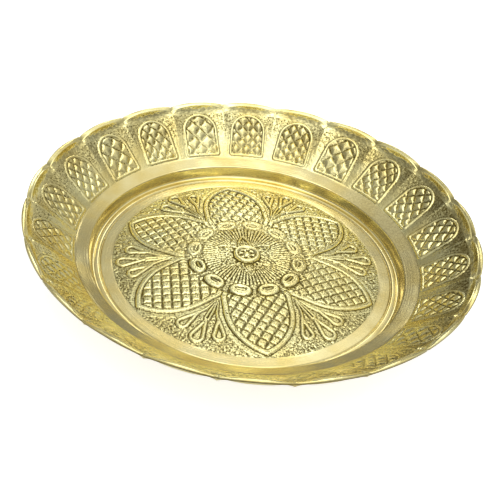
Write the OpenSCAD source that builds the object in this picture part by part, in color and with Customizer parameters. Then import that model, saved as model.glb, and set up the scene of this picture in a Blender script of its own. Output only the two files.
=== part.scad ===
// Round brass puja thali, a shallow offering plate pressed from one sheet.
// From the middle outwards the sheet is a crowned floor, a flat turned ring that
// the plate stands on, a short steep well side, a shoulder band, a flared wall and
// a rim of lobes. The floor carries a boss, a star, rays, crescent beads, petals
// and sprigs, and the wall carries one arch for each lobe.
// Sizes are in millimetres, +Z is up, and the origin is the middle of the base.

/* [Sheet] */
// Thickness of the brass sheet
sheet_t = 1.2; // [0.9:0.1:1.5]

/* [Floor] */
// Rise of the floor from its edge to its middle
crown_h = 5.2; // [4:0.1:6.5]

/* [Turned ring] */
// Width of the flat ring that the plate stands on
ring_w = 10.5; // [8:0.5:14]
// Distance from the floor's edge to the middle of the turned groove
groove_in = 6.4; // [2:0.1:7]
// Width of the turned groove
groove_w = 0.8; // [0.4:0.1:1.4]
// Depth of the turned groove
groove_d = 0.3; // [0.1:0.05:0.5]

/* [Well side and shoulder] */
// Outward run of the steep well side
well_w = 1.5; // [1:0.1:3]
// Rise of the well side
well_h = 6.2; // [4:0.1:8]
// Width of the plain shoulder band
band_w = 7.4; // [5:0.1:10]
// Rise of the shoulder band
band_h = 2.7; // [1.5:0.1:4]

/* [Flared wall] */
// Outward run of the wall
wall_w = 20.8; // [20:0.1:26]
// Rise of the wall
wall_h = 17.4; // [15:0.1:22]

/* [Rim] */
// Number of lobes, and of arches on the wall
lobes = 22; // [21:1:23]
// Outward run of the collar below the lip
collar_w = 1.9; // [1.4:0.1:2.1]
// Rise of the collar at the middle of a lobe
collar_h = 4.8; // [4:0.1:6.5]
// Width of the lip at the middle of a lobe
lip_w = 2.9; // [2.2:0.1:4]
// Slope of the lip, which rises outwards
lip_slope = 12; // [6:1:20]
// Thickness of the lip
lip_t = 1.4; // [1.2:0.1:1.8]
// How far the notch between two lobes cuts in
notch_in = 0.6; // [0.4:0.1:1.2]
// Radius of the small round in which a notch ends
notch_round = 0.4; // [0.3:0.1:0.8]
// How far the lip drops from the middle of a lobe to a notch
lip_dip = 1.1; // [0.8:0.1:1.8]

/* [Boss, star and rays] */
// Radius of the boss in the middle
boss_r = 7.6; // [6.4:0.1:8.4]
// Height of the boss ring above the floor
boss_h = 1.4; // [1:0.1:2]
// Width of the boss ring
boss_ring_w = 2; // [1.4:0.1:2.6]
// Radius of one seed in the boss
seed_r = 1; // [0.7:0.05:1.1]
// Seeds round the middle one
seeds = 6; // [5:1:7]
// Length of one ray of the star, from the boss to its point
star_l = 8.4; // [6:0.1:12]
// Width of one ray of the star
star_w = 7; // [5.5:0.1:7.6]
// Width of the raised line round a ray of the star
star_border = 1.3; // [0.9:0.1:1.7]
// Number of fine rays
rays = 72; // [48:6:84]
// Width of one fine ray
ray_w = 0.7; // [0.4:0.05:0.8]
// Length of one fine ray
ray_l = 5.6; // [4:0.1:8]
// Gap between the star's points and the fine rays
ray_gap = 1; // [0.4:0.1:3]

/* [Crescent beads] */
// Number of beads, two for each petal
beads = 12; // [10:1:14]
// Radius of one bead
bead_r = 4.6; // [4:0.1:5.4]
// Width of the raised line round the hollow in a bead
bead_line = 1.8; // [1.2:0.1:2.2]
// Gap between the fine rays and the beads
bead_gap = 0.4; // [0.2:0.1:2]

/* [Petals] */
// Number of petals
petals = 6; // [5:1:6]
// Length of a petal from its foot to its point
petal_l = 36; // [32:0.1:42]
// Width of a petal
petal_w = 35.2; // [30:0.1:38]
// Length of a petal's arched point
petal_point = 27.4; // [22:0.1:30]
// Width of a petal's raised border
petal_border = 2.3; // [1.6:0.1:3]
// Gap between the beads and the petals
petal_foot_gap = 0.6; // [0.3:0.1:3]
// Gap between neighbouring petals at the foot
petal_gap = 0.5; // [0.3:0.1:1]
// Gap between the petals' points and the floor's edge
petal_end_gap = 1.2; // [0.6:0.1:4]
// Length of one diamond stud on a petal
petal_stud_l = 6.4; // [5.4:0.1:8]
// Width of one diamond stud on a petal
petal_stud_w = 6.4; // [5.4:0.1:8]

/* [Sprigs] */
// Width of a leaf
leaf_w = 6.2; // [5:0.1:6.8]
// Width of the raised line round a leaf
leaf_border = 1.4; // [1:0.1:1.9]
// How much shorter a side leaf is than the middle one
side_leaf_cut = 3; // [1:0.1:5]
// Gap between the middle leaf's end and the floor's edge
leaf_end_gap = 1.6; // [0.8:0.1:4]
// Gap between a side leaf's end and the petal beside it
leaf_gap = 4.2; // [2.5:0.1:5]
// Width of a sprig's stem
stem_w = 1.8; // [1.2:0.1:2.2]
// Length of a sprig's stem
stem_l = 3.2; // [2:0.1:4]
// Gap between the place where two petals part and the stem
stem_gap = 2.6; // [2.4:0.1:5]

/* [Arches] */
// Width of an arch
arch_w = 20.4; // [17:0.1:21]
// Gap between an arch and the foot of the wall
arch_foot_gap = 0.6; // [0.4:0.1:2]
// Gap between an arch's crown and the top of the wall
arch_top_gap = 0.4; // [0.2:0.1:1.5]
// Width of an arch's raised border
arch_border = 1.2; // [1:0.1:2]
// Length of one diamond stud on an arch
arch_stud_l = 8.2; // [6.6:0.1:9]
// Width of one diamond stud on an arch
arch_stud_w = 6.8; // [5.6:0.1:8]

/* [Relief] */
// Height of borders, beads and leaves above the sheet
border_h = 0.9; // [0.7:0.05:1.3]
// Height of the fields inside the borders
field_h = 0.55; // [0.5:0.05:0.7]
// Height of the fine rays
ray_h = 0.5; // [0.3:0.05:0.8]
// Height of the studs above the fields
stud_h = 0.6; // [0.4:0.05:0.8]
// Width of the grooves between studs
stud_groove = 0.9; // [0.6:0.05:1.2]

/* [Hidden] */
$fn = 96;
// Round steps of the great circles, and of the shallow arcs in their sections
TURN_FN = 264;
ARC_FN = 1440;
BRASS = [0.80, 0.68, 0.36];
BRASS_BRIGHT = [0.88, 0.78, 0.46];
BRASS_DEEP = [0.66, 0.54, 0.26];
OVERRUN = 4;
// Height above the sheet at which the undersides of the studs lie
stud_seat = 0.1;
// How far neighbouring lobes run into each other at a notch
notch_lap = 1;
// How far the lip runs into the collar's thickness
lip_bite = 0.1;
// Share of its round end's radius at which a drop's straight sides end
DROP_SIDE_SHARE = 0.94;

half_lobe = 180 / lobes;
half_petal = 180 / petals;

// Radii of the floor's rings of ornament, from the boss to the floor's edge
star_r = boss_r + star_l;
ray_r = star_r + ray_gap;
bead_ring_r = ray_r + ray_l + bead_gap + bead_r;
petal_foot_r = bead_ring_r + bead_r + petal_foot_gap;
petal_tip_r = petal_foot_r + petal_l;
floor_r = petal_tip_r + petal_end_gap;

// Radius of the sphere that crowns the floor
crown_r = (floor_r * floor_r + crown_h * crown_h) / (2 * crown_h);

// Radius of the arcs that close a point of the length l over the width w
function point_arc(l, w) = (l * l + w * w / 4) / w;

// Petals: the arcs of their points, and the radius at which neighbours part
petal_arc = point_arc(petal_point, petal_w);
petal_off = petal_arc - petal_w / 2;
petal_shoulder = petal_tip_r - petal_point;
petal_part_r = petal_w / 2 / sin(half_petal);

// Sprigs: their leaves start at one root, and a side leaf's round end keeps its gap
// to the arc of the petal beside it, whose middle is seen from the root
sprig_r = petal_part_r + stem_gap + stem_l;
leaf_l = floor_r - leaf_end_gap - sprig_r;
side_leaf_l = leaf_l - side_leaf_cut;
arc_middle = [petal_shoulder * cos(half_petal) - petal_off * sin(half_petal) - sprig_r,
              petal_shoulder * sin(half_petal) + petal_off * cos(half_petal)];
end_reach = side_leaf_l - leaf_w / 2;
end_to_middle = petal_arc + leaf_w / 2 + leaf_gap;
side_leaf_turn = atan2(arc_middle.y, arc_middle.x)
    - acos((arc_middle * arc_middle + end_reach * end_reach - end_to_middle * end_to_middle)
        / (2 * norm(arc_middle) * end_reach));

// Corners of the sheet's upper side, from the floor's edge to the lip
corner_0 = [floor_r, sheet_t];
corner_1 = corner_0 + [ring_w, 0];
corner_2 = corner_1 + [well_w, well_h];
corner_3 = corner_2 + [band_w, band_h];
corner_4 = corner_3 + [wall_w, wall_h];
corner_5 = corner_4 + [collar_w, collar_h];
CORNERS = [corner_0, corner_1, corner_2, corner_3, corner_4, corner_5];
rim_z = corner_5.y + lip_w * tan(lip_slope);
plate_r = corner_5.x + lip_w;

// Unit normal to the line from a to b, on the underside
function under_normal(a, b) = [b.y - a.y, a.x - b.x] / norm(b - a);

// Corner i of the underside, one sheet's thickness from both lines that meet there
function under_corner(i) =
    i == 0 ? [floor_r, 0] :
    i == len(CORNERS) - 1 ? CORNERS[i] + sheet_t * under_normal(CORNERS[i - 1], CORNERS[i]) :
    let (n1 = under_normal(CORNERS[i - 1], CORNERS[i]))
    let (n2 = under_normal(CORNERS[i], CORNERS[i + 1]))
    CORNERS[i] + sheet_t * (n1 + n2) / (1 + n1 * n2);

// Wall: its length up the slope, its angle and its normal on the inner side
wall_l = norm([wall_w, wall_h]);
wall_turn = atan2(wall_h, wall_w);
wall_normal = -under_normal(corner_3, corner_4);

// Lobes: arcs through the notches and the outermost radius
notch_r = plate_r - notch_in;
notch_x = notch_r * cos(half_lobe);
notch_y = notch_r * sin(half_lobe);
lobe_rise = plate_r - notch_x;
lobe_r = (notch_y * notch_y + lobe_rise * lobe_rise) / (2 * lobe_rise);

// Radius of the arc that the lip follows up and down over a lobe
wave_r = (notch_y * notch_y + lip_dip * lip_dip) / (2 * lip_dip);

// Section of the space under the crowned surface, lifted or lowered by lift
module crown_section(lift) {
    top = sheet_t + crown_h + lift;
    intersection() {
        translate([0, top - crown_r]) circle(r = crown_r, $fn = ARC_FN);
        square([floor_r, top]);
    }
}

// Relief of height h that stands on the floor, with the outline of its children
module on_floor(h) {
    intersection() {
        linear_extrude(sheet_t + crown_h + h) children();
        rotate_extrude($fn = TURN_FN) difference() {
            crown_section(h);
            crown_section(0);
        }
    }
}

// Piece i of the sheet, between the corners i and i + 1
module sheet_section(i) {
    polygon([CORNERS[i], CORNERS[i + 1], under_corner(i + 1), under_corner(i)]);
}

module turned(i) {
    rotate_extrude($fn = TURN_FN) sheet_section(i);
}

module floor_disc() {
    color(BRASS_DEEP) rotate_extrude($fn = TURN_FN) difference() {
        crown_section(0);
        translate([0, -sheet_t]) crown_section(0);
    }
}

module turned_ring() {
    color(BRASS) rotate_extrude($fn = TURN_FN) difference() {
        sheet_section(0);
        translate([floor_r + groove_in - groove_w / 2, sheet_t - groove_d]) square(groove_w);
    }
}

module well_side() {
    color(BRASS_DEEP) turned(1);
}

module shoulder_band() {
    color(BRASS_BRIGHT) turned(2);
}

module flared_wall() {
    color(BRASS) turned(3);
}

// Space below the arc that the lip follows over the lobe at the angle 0, lowered by drop
module under_wave(drop) {
    translate([plate_r, 0, rim_z]) rotate([0, 90 - lip_slope, 0]) {
        translate([wave_r, 0, -plate_r]) cylinder(r = wave_r - drop, h = 2 * plate_r, $fn = ARC_FN);
    }
}

// Sector over the lobe at the angle 0, running past the notches on either side of it
module lobe_sector() {
    foot = corner_4.x - OVERRUN;
    reach = plate_r + OVERRUN;
    foot_side = foot * tan(half_lobe) + notch_lap;
    reach_side = reach * tan(half_lobe) + notch_lap;
    polygon([[foot, -foot_side], [reach, -reach_side], [reach, reach_side], [foot, foot_side]]);
}

module lobe_outline() {
    intersection() {
        lobe_sector();
        translate([plate_r - lobe_r, 0]) circle(r = lobe_r, $fn = TURN_FN);
    }
}

// Space below the arcs of all the lobes, lowered by drop, over their outlines
module under_lobes(drop) {
    for (k = [0:lobes - 1]) rotate(2 * half_lobe * k) intersection() {
        linear_extrude(rim_z + OVERRUN) children();
        under_wave(drop);
    }
}

// Collar, run on past the lip, whose arcs cut it off
module collar() {
    run_on = OVERRUN * (corner_5 - corner_4) / norm(corner_5 - corner_4);
    rotate_extrude($fn = TURN_FN) polygon([
        corner_4, corner_5 + run_on, under_corner(5) + run_on, under_corner(4)
    ]);
}

module lobed_rim() {
    color(BRASS_BRIGHT) difference() {
        intersection() {
            under_lobes(0) lobe_outline();
            union() {
                collar();
                difference() {
                    cylinder(r = plate_r + OVERRUN, h = rim_z + OVERRUN, $fn = TURN_FN);
                    under_lobes(lip_t) lobe_sector();
                    cylinder(r = corner_5.x + lip_bite, h = rim_z + OVERRUN, $fn = TURN_FN);
                }
            }
        }
        for (k = [1:lobes]) rotate((2 * k - 1) * half_lobe) {
            translate([notch_r, 0]) cylinder(r = notch_round, h = rim_z + OVERRUN);
        }
    }
}

// Disc with a raised ring, and seeds inside the ring
module centre_boss() {
    seed_place = (boss_r - boss_ring_w + seed_r) / 2;
    color(BRASS_BRIGHT) union() {
        on_floor(field_h) circle(r = boss_r);
        on_floor(boss_h) {
            difference() {
                circle(r = boss_r);
                circle(r = boss_r - boss_ring_w);
            }
            circle(r = seed_r);
            for (k = [0:seeds - 1]) rotate(360 / seeds * k) {
                translate([seed_place, 0]) circle(r = seed_r);
            }
        }
    }
}

// Pointed outline along +X: straight sides from foot to shoulder, then two arcs
// of radius arc whose centres lie at the distance off on the far sides
module pointed(foot, shoulder, off, arc) {
    translate([foot, off - arc]) square([shoulder - foot, 2 * (arc - off)]);
    intersection() {
        translate([shoulder, off]) circle(r = arc, $fn = TURN_FN);
        translate([shoulder, -off]) circle(r = arc, $fn = TURN_FN);
        translate([shoulder, -arc]) square([arc, 2 * arc]);
    }
}

module boss_star() {
    arc = point_arc(star_l, star_w);
    off = arc - star_w / 2;
    color(BRASS) on_floor(border_h) difference() {
        for (k = [0:petals - 1]) rotate(2 * half_petal * (k + 0.5)) difference() {
            pointed(boss_r - star_border, boss_r, off, arc);
            pointed(boss_r - star_border, boss_r, off, arc - star_border);
        }
        circle(r = boss_r);
    }
}

module fine_rays() {
    color(BRASS) on_floor(ray_h) for (k = [0:rays - 1]) rotate(360 / rays * (k + 0.5)) {
        translate([ray_r, -ray_w / 2]) square([ray_l, ray_w]);
    }
}

module crescent_beads() {
    hollow_r = bead_r - bead_line;
    color(BRASS_BRIGHT) on_floor(border_h) for (k = [0:beads - 1]) rotate(360 / beads * (k + 0.5)) {
        translate([bead_ring_r, 0]) difference() {
            circle(r = bead_r);
            difference() {
                circle(r = hollow_r);
                translate([-hollow_r / 2, 0]) circle(r = hollow_r);
            }
        }
    }
}

// Outline of a petal, drawn in by inset
module petal_outline(inset) {
    side = (petal_gap / 2 + inset) / sin(half_petal);
    reach = floor_r + OVERRUN;
    intersection() {
        difference() {
            pointed(0, petal_shoulder, petal_off, petal_arc - inset);
            circle(r = petal_foot_r + inset);
        }
        translate([side, 0]) {
            polygon([[0, 0], [reach, -reach * tan(half_petal)], [reach, reach * tan(half_petal)]]);
        }
    }
}

// Ridges along X with a gable top of the height h, side by side along Y, that go
// down to the depth sink below their eaves
module gables(pitch, h, sink, reach) {
    half_w = (pitch - stud_groove) / 2;
    count = floor(reach / pitch);
    for (i = [-count:count]) translate([0, i * pitch, 0]) rotate([90, 0, 90]) {
        linear_extrude(2 * reach, center = true) {
            polygon([[-half_w, -sink], [half_w, -sink], [half_w, 0], [0, h], [-half_w, 0]]);
        }
    }
}

// Field of pointed studs with the diagonals l along X and w along Y
module studs(l, w, h, sink, reach) {
    pitch = l * w / norm([l, w]);
    turn = atan2(w, l);
    intersection() {
        rotate(turn) gables(pitch, h, sink, reach);
        rotate(-turn) gables(pitch, h, sink, reach);
    }
}

// Whether the point p lies in the petal's field, drawn in by inset
function in_field(p, inset) =
    norm(p) > petal_foot_r + inset
    && abs(p.y) < petal_w / 2 - inset
    && abs(p.y) < p.x * tan(half_petal) - (petal_gap / 2 + inset) / cos(half_petal)
    && (p.x < petal_shoulder
        || norm([p.x - petal_shoulder, abs(p.y) + petal_off]) < petal_arc - inset);

// One stud at the point p of the crowned floor, square to the floor there
module floor_stud(p, size) {
    turn = atan2(p.y, p.x);
    top_share = 0.25;
    translate([0, 0, sheet_t + crown_h - crown_r]) rotate([0, 0, turn]) {
        rotate([0, asin(norm(p) / crown_r), -turn]) translate([0, 0, crown_r + stud_seat]) {
            linear_extrude(field_h + stud_h - stud_seat, scale = top_share) {
                polygon([[size.x / 2, 0], [0, size.y / 2], [-size.x / 2, 0], [0, -size.y / 2]]);
            }
        }
    }
}

module petal() {
    size = [petal_stud_l - stud_groove, petal_stud_w - stud_groove];
    middle = petal_foot_r + petal_l / 2;
    count = ceil(petal_l / petal_stud_l);
    places = [for (i = [-count:count]) for (j = [-count:count])
        [middle + (i + j) * petal_stud_l / 2, (i - j) * petal_stud_w / 2]];
    color(BRASS) union() {
        on_floor(field_h) petal_outline(0);
        on_floor(border_h) difference() {
            petal_outline(0);
            petal_outline(petal_border);
        }
        for (p = places) {
            corners = [for (d = [[1, 0], [0, 1], [-1, 0], [0, -1]]) p + [d.x * size.x, d.y * size.y] / 2];
            inside = [for (c = corners) if (in_field(c, petal_border)) c];
            if (len(inside) == len(corners)) floor_stud(p, size);
        }
    }
}

// Closed drop with its point at the origin and its round end of the width w at l
module drop_outline(l, w) {
    r = w / 2;
    x = l - r;
    side = DROP_SIDE_SHARE * r;
    translate([x, 0]) circle(r = r);
    polygon([[0, 0], [x, side], [x, -side]]);
}

// Line of even width round a drop of the length l
module leaf_outline(l) {
    tip = leaf_border * (l - leaf_w / 2) / (leaf_w / 2);
    difference() {
        drop_outline(l, leaf_w);
        translate([tip, 0]) drop_outline(l - tip - leaf_border, leaf_w - 2 * leaf_border);
    }
}

// Relief of the height of the borders over the whole floor, for pieces that cross
module floor_layer() {
    rotate_extrude($fn = TURN_FN) difference() {
        crown_section(border_h);
        crown_section(0);
    }
}

module sprig() {
    top = sheet_t + crown_h + border_h;
    color(BRASS_BRIGHT) intersection() {
        floor_layer();
        union() {
            translate([sprig_r - stem_l, -stem_w / 2]) cube([stem_l + leaf_w, stem_w, top]);
            translate([sprig_r, 0]) linear_extrude(top) leaf_outline(leaf_l);
            for (turn = [-side_leaf_turn, side_leaf_turn]) translate([sprig_r, 0]) rotate(turn) {
                linear_extrude(top) leaf_outline(side_leaf_l);
            }
        }
    }
}

// Outline of an arch drawn in by inset, with X up the wall from its foot
module arch_outline(inset) {
    r = arch_w / 2 - inset;
    spring = wall_l - arch_top_gap - arch_w / 2;
    foot = arch_foot_gap + inset;
    translate([foot, -r]) square([spring - foot, 2 * r]);
    translate([spring, 0]) circle(r = r);
}

// Layer of height h on the inner side of the wall
module wall_layer(h) {
    rotate_extrude($fn = TURN_FN) {
        polygon([corner_3, corner_4, corner_4 + h * wall_normal, corner_3 + h * wall_normal]);
    }
}

// Places its children on the wall at the angle 0: X up the slope, Z off the wall
module at_wall() {
    translate([corner_3.x, 0, corner_3.y]) rotate([0, -wall_turn, 0]) children();
}

// Relief of height h that stands on the wall, with the outline of its children
module on_wall(h) {
    intersection() {
        wall_layer(h);
        at_wall() translate([0, 0, -OVERRUN]) linear_extrude(2 * OVERRUN) children();
    }
}

module arch() {
    color(BRASS) union() {
        on_wall(field_h) arch_outline(0);
        on_wall(border_h) difference() {
            arch_outline(0);
            arch_outline(arch_border);
        }
        intersection() {
            on_wall(field_h + stud_h) arch_outline(arch_border + stud_groove / 2);
            at_wall() translate([wall_l / 2, 0, field_h]) {
                studs(arch_stud_l, arch_stud_w, stud_h, field_h - stud_seat, norm([wall_l, arch_w]) / 2);
            }
        }
    }
}

floor_disc();
turned_ring();
well_side();
shoulder_band();
flared_wall();
lobed_rim();
centre_boss();
boss_star();
fine_rays();
crescent_beads();
for (i = [1:petals]) {
    turn = 2 * half_petal * (i - 0.5);
    rotate(turn) petal();
}
for (i = [1:petals]) {
    turn = 2 * half_petal * (i - 1);
    rotate(turn) sprig();
}
for (i = [1:lobes]) {
    turn = 2 * half_lobe * (i - 1);
    rotate(turn) arch();
}
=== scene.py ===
import math

import bpy
import numpy as np
from mathutils import Matrix, Vector


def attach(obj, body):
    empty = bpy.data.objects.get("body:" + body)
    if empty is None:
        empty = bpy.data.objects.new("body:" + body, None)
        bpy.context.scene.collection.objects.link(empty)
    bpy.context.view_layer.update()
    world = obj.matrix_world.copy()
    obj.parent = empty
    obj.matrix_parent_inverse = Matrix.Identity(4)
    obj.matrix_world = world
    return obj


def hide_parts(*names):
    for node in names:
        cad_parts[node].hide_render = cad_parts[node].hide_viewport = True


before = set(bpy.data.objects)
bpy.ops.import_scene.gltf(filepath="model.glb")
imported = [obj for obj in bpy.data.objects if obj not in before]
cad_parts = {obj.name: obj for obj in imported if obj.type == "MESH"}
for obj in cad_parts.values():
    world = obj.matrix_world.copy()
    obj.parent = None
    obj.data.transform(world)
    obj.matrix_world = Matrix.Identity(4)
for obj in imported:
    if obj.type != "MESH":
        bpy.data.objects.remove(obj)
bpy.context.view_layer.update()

# Sizes of the plate, in mm, as in the solids
MM = 0.001
SHEET_T = 1.2
PLATE_R = 115.0
FLOOR_R = 70.0
CROWN_H = 5.2
CROWN_R = (FLOOR_R ** 2 + CROWN_H ** 2) / (2 * CROWN_H)
PETALS = 6
LOBES = 22
LOBE_STEP = 2 * math.pi / LOBES
# Corners of the sheet's upper side, from the floor's edge to the top of the wall: radius, height
CORNERS = np.array([(FLOOR_R, SHEET_T), (80.5, SHEET_T), (82.0, 7.4), (89.4, 10.1), (110.2, 27.5)])
# Rounding of the three corners between the first and the last
FILLETS = (1.3, 1.1, 2.2)

# Degrees from the plate's X axis to the photograph's right
VIEW_TURN = -9.45
# The same in radians: above 0, sin(theta - VIEW_SIDE) is on the far side of the plate
VIEW_SIDE = -0.165


# Number helpers
HASH = np.array([73856093, 19349663, 83492791])
NOISE_TABLE, CELL_TABLE = 8192, 4096
# Grains of the stippled ground: sizes, share of the fine ones, and the limits of their height
GRAIN_COARSE, GRAIN_FINE, FINE_SHARE, GRAIN_LIMITS = 1.05, 0.62, 0.6, (-0.9, 1.2)


def smooth(a, b, x):
    """0 up to a and 1 from b on, with a smooth step between. a may be larger than b."""
    t = np.clip((x - a) / (b - a), 0.0, 1.0)
    return t * t * (3 - 2 * t)


def ease(least, step, x):
    """least before a smooth step, and 1 after it."""
    return least + (1 - least) * smooth(*step, x)


def span(steps, x):
    """1 within a stretch that one smooth step begins and another ends."""
    return smooth(*steps[0], x) * smooth(*steps[1], x)


def ridge(x, half, at=0.0):
    """1 where x is at, falling round to 0 at the distance half from there."""
    t = np.clip(1 - ((x - at) / half) ** 2, 0.0, 1.0)
    return t * (2 - t) ** 0.5


def noise(p, size, seed):
    """Smooth value noise from -1 to 1 at the points p, with cells of the given size."""
    table = np.random.default_rng(seed).uniform(-1, 1, NOISE_TABLE)
    q = p / size
    base = np.floor(q).astype(np.int64)
    f = q - base
    f = f * f * (3 - 2 * f)
    total = np.zeros(q.shape[:-1])
    for corner in range(8):
        step = np.array([corner & 1, corner >> 1 & 1, corner >> 2 & 1])
        c = base + step
        key = np.bitwise_xor.reduce(c * HASH, -1) & (NOISE_TABLE - 1)
        weight = np.prod(np.where(step == 1, f, 1 - f), axis=-1)
        total += weight * table[key]
    return total


def cell_random(i, j, seed):
    """A fixed random number from -1 to 1 for each pair of whole numbers."""
    table = np.random.default_rng(seed).uniform(-1, 1, CELL_TABLE)
    i, j = i.astype(np.int64), j.astype(np.int64)
    return table[(i * HASH[0] ^ j * HASH[1]) & (CELL_TABLE - 1)]


def cell(a):
    """Whole number of the cell that holds a, and the place in it from -0.5 to 0.5."""
    index = np.floor(a)
    return index, a - index - 0.5


def fold(angle, step, phase):
    """Number of the nearest of the axes at phase + k * step, and the angle from it."""
    k = np.round((angle - phase) / step)
    return k, angle - phase - k * step


def angles(n):
    """n angles evenly round the plate."""
    return np.arange(n) * 2 * math.pi / n


def on_circle(r, theta, z=0.0):
    """Points at the radius r and the angle theta."""
    x, y = r * np.cos(theta), r * np.sin(theta)
    return np.stack([x, y, np.broadcast_to(z, np.shape(x))], -1)


def blur(grid, rows, cols):
    """Mean over a window of a grid that is closed along its second axis."""
    out = np.zeros_like(grid)
    for i in range(-rows, rows + 1):
        at = np.clip(np.arange(len(grid)) + i, 0, len(grid) - 1)
        for j in range(-cols, cols + 1):
            out += np.roll(grid[at], j, axis=1)
    return out / ((2 * rows + 1) * (2 * cols + 1))


def cavity(height, rows, cols, depth):
    """0 on what stands out, 1 in what lies below its surroundings."""
    return np.clip(0.5 + (blur(height, rows, cols) - height) / depth, 0.0, 1.0)


def stipple(points, amount, seed):
    """Granulated ground, of grains about a millimetre across."""
    n = noise(points, GRAIN_COARSE, seed) + FINE_SHARE * noise(points, GRAIN_FINE, seed + 1)
    return amount * np.clip(n, *GRAIN_LIMITS)


# Wear, and the sides that get more painted shade. Both belong to places on the plate, and turn with it.
SHADE_WEIGHT_SIDE = 0.9  # angle of the middle of the side where the painted shade is strongest
SHADE_SIDE = -0.4  # and of the arches that get a little painted shade
SHADE_WEIGHT_LEAST, SHADE_WEIGHT_FROM = 0.2, (-0.75, 0.2)
# What is left of the height where it is worn most, and the stretch over which that changes
BEADS_LEFT, BEADS_WORN = 0.4, (0.1, -0.5)
STAR_LEFT, STAR_WORN = 0.45, (0.2, 0.9)
ARCHES_LEFT, ARCHES_WORN = 0.5, (-0.75, 0.0)
LEFT_ARCHES_LOSE, LEFT_ARCHES = 0.35, (0.6, 0.95)
# Where the top of the wall gets painted shade: on the right, and in front with a larger share
TOP_SHADE_RIGHT, TOP_SHADE_FRONT, TOP_SHADE_FRONT_SHARE = (0.6, 0.95), (0.5, 0.95), 1.5


def to_right(theta):
    """1 on the plate's right in the photograph, -1 on its left."""
    return np.cos(theta - VIEW_SIDE)


def to_back(theta):
    """1 on the plate's far side in the photograph, -1 on its near side."""
    return np.sin(theta - VIEW_SIDE)


def arch_left(theta):
    """Share of the arches' height that is left: they are shallow in front and on the left."""
    front = ease(ARCHES_LEFT, ARCHES_WORN, to_back(theta))
    return front * (1 - LEFT_ARCHES_LOSE * smooth(*LEFT_ARCHES, -to_right(theta)))


def shade_weight(theta):
    """1 on the side of the wall where the painted shade is strongest, and little on the other side."""
    return ease(SHADE_WEIGHT_LEAST, SHADE_WEIGHT_FROM, np.cos(theta - SHADE_WEIGHT_SIDE))


def top_shade(theta):
    """How much painted shade the top of the wall has: most in front, and next on the right."""
    front = TOP_SHADE_FRONT_SHARE * smooth(*TOP_SHADE_FRONT, -to_back(theta))
    return np.maximum(smooth(*TOP_SHADE_RIGHT, to_right(theta)), front)


# Mesh builder
SHARP_ANGLE = 62.0


def new_object(name, data):
    """An object in the scene, from a mesh, a lamp or a camera."""
    obj = bpy.data.objects.new(name, data)
    bpy.context.scene.collection.objects.link(obj)
    return obj


def bridge(n, m, a, b):
    """Faces between a ring of n points from index a on, and a ring of m points from b on. One
    ring has as many points as the other, or twice as many."""
    if n > m:
        return [face[:, ::-1] for face in bridge(m, n, b, a)]
    k = np.arange(n)
    k1 = (k + 1) % n
    if n == m:
        return [np.stack([a + k, b + k, b + k1, a + k1], 1)]
    b0, b1, b2 = b + 2 * k, b + 2 * k + 1, b + (2 * k + 2) % m
    return [np.stack([a + k, b0, b1], 1), np.stack([a + k, b1, a + k1], 1),
            np.stack([a + k1, b1, b2], 1)]


def cap(middle, start, n, flip):
    """Faces from the point number middle to the ring of n points that begins at start."""
    k = np.arange(n)
    here, ahead = start + k, start + (k + 1) % n
    if flip:
        here, ahead = ahead, here
    return np.stack([np.full(n, middle), here, ahead], 1)


def ring_mesh(name, rings, patina_and_shade, closed):
    """A closed solid from rings of points, in mm. closed joins the last ring to the first,
    otherwise both ends are capped on the axis."""
    points, values = list(rings), list(patina_and_shade)
    sizes = [len(ring) for ring in points]
    starts = np.cumsum([0] + sizes)
    faces = []
    for i in range(len(sizes) - 1):
        faces += bridge(sizes[i], sizes[i + 1], starts[i], starts[i + 1])
    if closed:
        faces += bridge(sizes[-1], sizes[0], starts[-2], starts[0])
    else:
        faces.append(cap(starts[-1], starts[0], sizes[0], False))
        faces.append(cap(starts[-1] + 1, starts[-2], sizes[-1], True))
        for end in (0, len(sizes) - 1):
            points.append(points[end].mean(0)[None])
            values.append(np.array([values[end].mean()]))
    co = np.concatenate(points)
    corner = np.concatenate([f.ravel() for f in faces]).astype(np.int32)
    corners = np.concatenate([np.full(len(f), f.shape[1]) for f in faces])
    first = np.concatenate([[0], np.cumsum(corners)[:-1]]).astype(np.int32)
    mesh = bpy.data.meshes.new(name)
    mesh.vertices.add(len(co))
    mesh.vertices.foreach_set("co", (co * MM).astype(np.float32).ravel())
    mesh.loops.add(len(corner))
    mesh.loops.foreach_set("vertex_index", corner)
    mesh.polygons.add(len(first))
    mesh.polygons.foreach_set("loop_start", first)
    mesh.update(calc_edges=True)
    mesh.validate()
    mesh.shade_smooth()
    mesh.set_sharp_from_angle(angle=math.radians(SHARP_ANGLE))
    # patina in the hollows, together with painted light and shade
    layer = mesh.attributes.new("patina_and_shade", "FLOAT", "POINT")
    layer.data.foreach_set("value", np.concatenate(values).astype(np.float32))
    return new_object(name, mesh)


def ring_points(n, radius, height):
    """Ring of n points; radius and height are numbers or arrays of n."""
    return on_circle(np.broadcast_to(radius, n), angles(n), height)


# Outlines, in mm. Distances are positive inside pointed() and negative inside drop().
def pointed(x, y, shoulder, off, arc):
    """Distance inside an outline of two arcs that meet in a point, and straight sides."""
    y = np.abs(y)
    return np.where(x > shoulder, arc - np.hypot(x - shoulder, y + off), arc - off - y)


def stud(fa, fb, groove, flat):
    """Truncated pyramid over a cell, 1 on top; fa and fb run from -0.5 to 0.5."""
    m = np.maximum(np.abs(fa), np.abs(fb))
    return np.clip((0.5 - groove - m) / (0.5 - groove - flat), 0.0, 1.0)


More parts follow.
